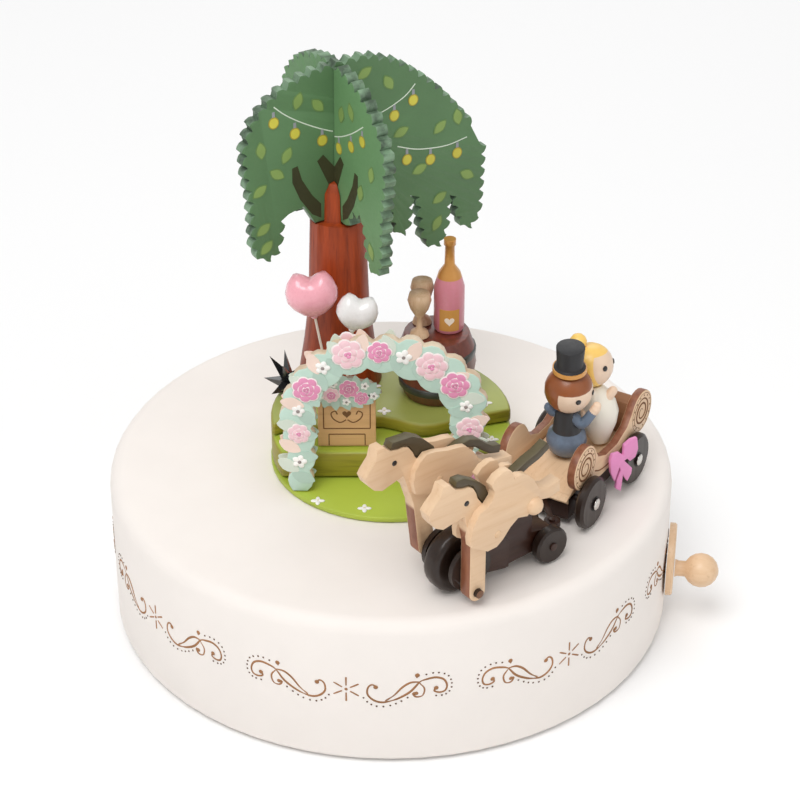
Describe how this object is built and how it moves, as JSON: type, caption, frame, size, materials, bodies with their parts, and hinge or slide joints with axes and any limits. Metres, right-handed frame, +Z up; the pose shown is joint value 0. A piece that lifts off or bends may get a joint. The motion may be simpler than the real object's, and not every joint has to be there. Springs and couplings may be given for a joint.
{
  "type": "wooden music box with a magnet-drawn horse carriage",
  "caption": "Round wooden music box: a hidden arm with a magnet draws a galloping horse team and a carriage around a terraced garden.",
  "frame": {"origin": "centre of the circle of feet, on the plane the feet stand on", "axes": "+Z up, -Y towards the front of the garden (the arch), +X to the right seen from the front"},
  "size_m": [0.184, 0.1724, 0.1703],
  "materials": {
    "cream_paint": "satin cream paint",
    "bare_wood": "bare light wood",
    "rubber": "black rubber",
    "steel": "ground steel",
    "beech": "satin clear lacquer",
    "brass": "plain brass",
    "magnet": "nickel-plated magnet",
    "grass_light": "green stain",
    "grass_olive": "olive stain",
    "trunk_brown": "brown stain",
    "leaf_green": "green paint",
    "keg_brown": "dark brown gloss",
    "bottle_pink": "pink and gold paint",
    "balloon_pink": "pink gloss paint",
    "balloon_white": "white gloss paint",
    "arch_mint": "pale mint print",
    "garland": "coloured print",
    "bush_black": "black gloss",
    "dark_wood": "dark brown stain",
    "wheel_dark": "dark stain",
    "horse_wood": "satin clear lacquer",
    "mane": "dark stain",
    "bow_pink": "pink paint",
    "suit": "grey-blue paint",
    "hat_black": "black paint",
    "dress_white": "white paint",
    "hair_blond": "orange-yellow paint"
  },
  "bodies": {
    "base": {"drum_shell": "cream_paint", "bottom_plate": "bare_wood", "rubber_foot_1": "rubber", "rubber_foot_2": "rubber", "rubber_foot_3": "rubber", "movement_bedplate": "brass", "steel_comb": "steel", "centre_spindle": "steel", "ground_disc": "grass_light", "lower_terrace": "grass_olive", "upper_terrace": "grass_light", "tree_trunk": "trunk_brown", "foliage_board_a": "leaf_green", "foliage_board_b": "leaf_green", "wine_barrel": "keg_brown", "bottle": "bottle_pink", "goblet_front": "beech", "goblet_rear": "beech", "balloon_pink": "balloon_pink", "balloon_pink_stick": "beech", "balloon_white": "balloon_white", "balloon_white_stick": "beech", "flower_arch": "arch_mint", "sign_board": "bare_wood", "sign_garland": "garland", "leaf_bush": "bush_black"},
    "winding_crank": {"winding_shaft": "steel", "crank_disc": "beech", "crank_knob": "beech"},
    "spring_barrel": {"spring_barrel": "brass"},
    "pinned_cylinder": {"pinned_cylinder": "brass"},
    "governor_fan": {"governor_fan": "brass"},
    "drive_arm": {"crown_gear": "brass", "drive_arm": "bare_wood", "arm_magnet": "magnet"},
    "team": {"team_chassis": "dark_wood"},
    "crank_wheel": {"crank_wheel": "wheel_dark"},
    "team_wheel_outer": {"team_wheel_outer": "wheel_dark"},
    "team_wheel_inner": {"team_wheel_inner": "wheel_dark"},
    "near_horse": {"near_horse": "horse_wood", "near_mane": "mane", "near_tail": "mane"},
    "far_horse": {"far_horse": "horse_wood", "far_mane": "mane", "far_tail": "mane"},
    "carriage": {"carriage_chassis": "dark_wood", "carriage_floor": "bare_wood", "carriage_panel_outer": "bare_wood", "carriage_panel_inner": "bare_wood", "carriage_seat_back": "bare_wood", "carriage_bow": "bow_pink", "groom_body": "suit", "groom_head": "trunk_brown", "groom_hat": "hat_black", "bride_body": "dress_white", "bride_head": "hair_blond"},
    "carriage_wheel_front_outer": {"carriage_wheel_front_outer": "wheel_dark"},
    "carriage_wheel_front_inner": {"carriage_wheel_front_inner": "wheel_dark"},
    "carriage_wheel_rear_outer": {"carriage_wheel_rear_outer": "wheel_dark"},
    "carriage_wheel_rear_inner": {"carriage_wheel_rear_inner": "wheel_dark"}
  },
  "joints": [
    {"name": "arm_turn", "type": "hinge", "parent": "base", "child": "drive_arm", "pos_m": [0, 0, 0.03], "axis": [0, 0, 1], "continuous": true},
    {"name": "winding_turn", "type": "hinge", "parent": "base", "child": "winding_crank", "pos_m": [0.08395, -0.0133, 0.02], "axis": [0.9877, -0.1564, 0], "continuous": true},
    {"name": "barrel_turn", "type": "hinge", "parent": "base", "child": "spring_barrel", "pos_m": [0.01975, -0.00313, 0.02], "axis": [0.9877, -0.1564, 0], "continuous": true},
    {"name": "cylinder_turn", "type": "hinge", "parent": "base", "child": "pinned_cylinder", "pos_m": [0.04726, 0.01074, 0.02], "axis": [0.9877, -0.1564, 0], "continuous": true},
    {"name": "governor_turn", "type": "hinge", "parent": "base", "child": "governor_fan", "pos_m": [0.0522, 0.00996, 0.032], "axis": [0.9877, -0.1564, 0], "continuous": true},
    {"name": "team_lift", "type": "slide", "parent": "drive_arm", "child": "team", "axis": [0, 0, 1], "range_m": [0, 0.004]},
    {"name": "crank_wheel_turn", "type": "hinge", "parent": "team", "child": "crank_wheel", "pos_m": [0.0179, -0.0675, 0.0592], "axis": [0.6018, -0.7986, 0], "continuous": true},
    {"name": "team_wheel_outer_turn", "type": "hinge", "parent": "team", "child": "team_wheel_outer", "pos_m": [0.04463, -0.05512, 0.0549], "axis": [0.6018, -0.7986, 0], "continuous": true},
    {"name": "team_wheel_inner_turn", "type": "hinge", "parent": "team", "child": "team_wheel_inner", "pos_m": [0.03717, -0.04522, 0.0549], "axis": [0.6018, -0.7986, 0], "continuous": true},
    {"name": "near_horse_swing", "type": "hinge", "parent": "crank_wheel", "child": "near_horse", "pos_m": [0.02231, -0.07544, 0.05415], "axis": [0.6018, -0.7986, 0], "continuous": true},
    {"name": "far_horse_swing", "type": "hinge", "parent": "crank_wheel", "child": "far_horse", "pos_m": [0.00863, -0.06321, 0.06115], "axis": [0.6018, -0.7986, 0], "continuous": true},
    {"name": "drawbar_swing", "type": "hinge", "parent": "team", "child": "carriage", "pos_m": [0.04585, -0.04644, 0.0556], "axis": [0, 0, 1], "range_deg": [-8, 0]},
    {"name": "carriage_wheel_front_outer_turn", "type": "hinge", "parent": "carriage", "child": "carriage_wheel_front_outer", "pos_m": [0.05737, -0.0376, 0.0572], "axis": [0.8517, -0.524, 0], "continuous": true},
    {"name": "carriage_wheel_front_inner_turn", "type": "hinge", "parent": "carriage", "child": "carriage_wheel_front_inner", "pos_m": [0.03302, -0.02262, 0.0572], "axis": [0.8517, -0.524, 0], "continuous": true},
    {"name": "carriage_wheel_rear_outer_turn", "type": "hinge", "parent": "carriage", "child": "carriage_wheel_rear_outer", "pos_m": [0.07178, -0.01418, 0.0572], "axis": [0.8517, -0.524, 0], "continuous": true},
    {"name": "carriage_wheel_rear_inner_turn", "type": "hinge", "parent": "carriage", "child": "carriage_wheel_rear_inner", "pos_m": [0.04743, 0.0008, 0.0572], "axis": [0.8517, -0.524, 0], "continuous": true}
  ],
  "couplings": [
    {"joint": "barrel_turn", "follows": "arm_turn", "ratio": -1},
    {"joint": "cylinder_turn", "follows": "arm_turn", "ratio": 2},
    {"joint": "governor_turn", "follows": "arm_turn", "ratio": -6},
    {"joint": "near_horse_swing", "follows": "crank_wheel_turn", "ratio": -1},
    {"joint": "far_horse_swing", "follows": "crank_wheel_turn", "ratio": -1}
  ]
}
